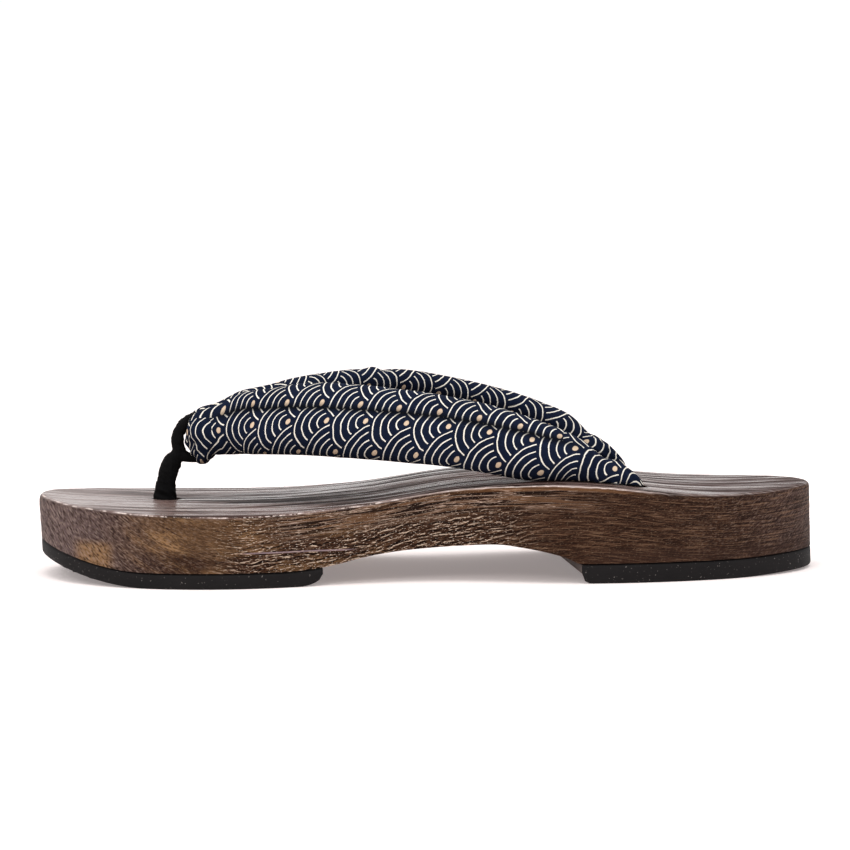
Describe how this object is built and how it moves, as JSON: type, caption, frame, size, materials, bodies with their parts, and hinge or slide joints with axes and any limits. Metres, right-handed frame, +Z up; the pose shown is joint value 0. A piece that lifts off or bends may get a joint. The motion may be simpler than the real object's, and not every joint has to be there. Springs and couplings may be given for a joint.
{
  "type": "geta sandal",
  "caption": "Low wooden geta sandal: waisted carved base on rubber treads, with a padded wave-print V strap held by a toe thong.",
  "frame": {"origin": "on the floor under the centre of the bounding box", "axes": "+X points from the toe to the heel, +Y to the sandal's right side, +Z up"},
  "size_m": [0.2658, 0.103, 0.0678],
  "materials": {
    "dark_brushed_wood": "dark stained, brushed so the grain stands out, waxed on top",
    "black_rubber": "matte",
    "navy_wave_print_cloth": "plain weave cotton, navy with cream wave arcs and tan dots, padded",
    "black_cord_cloth": "matte cord"
  },
  "bodies": {
    "root": {"wooden_base": "dark_brushed_wood", "front_tread": "black_rubber", "heel_tread": "black_rubber", "strap": "navy_wave_print_cloth", "toe_thong": "black_cord_cloth"}
  },
  "joints": []
}
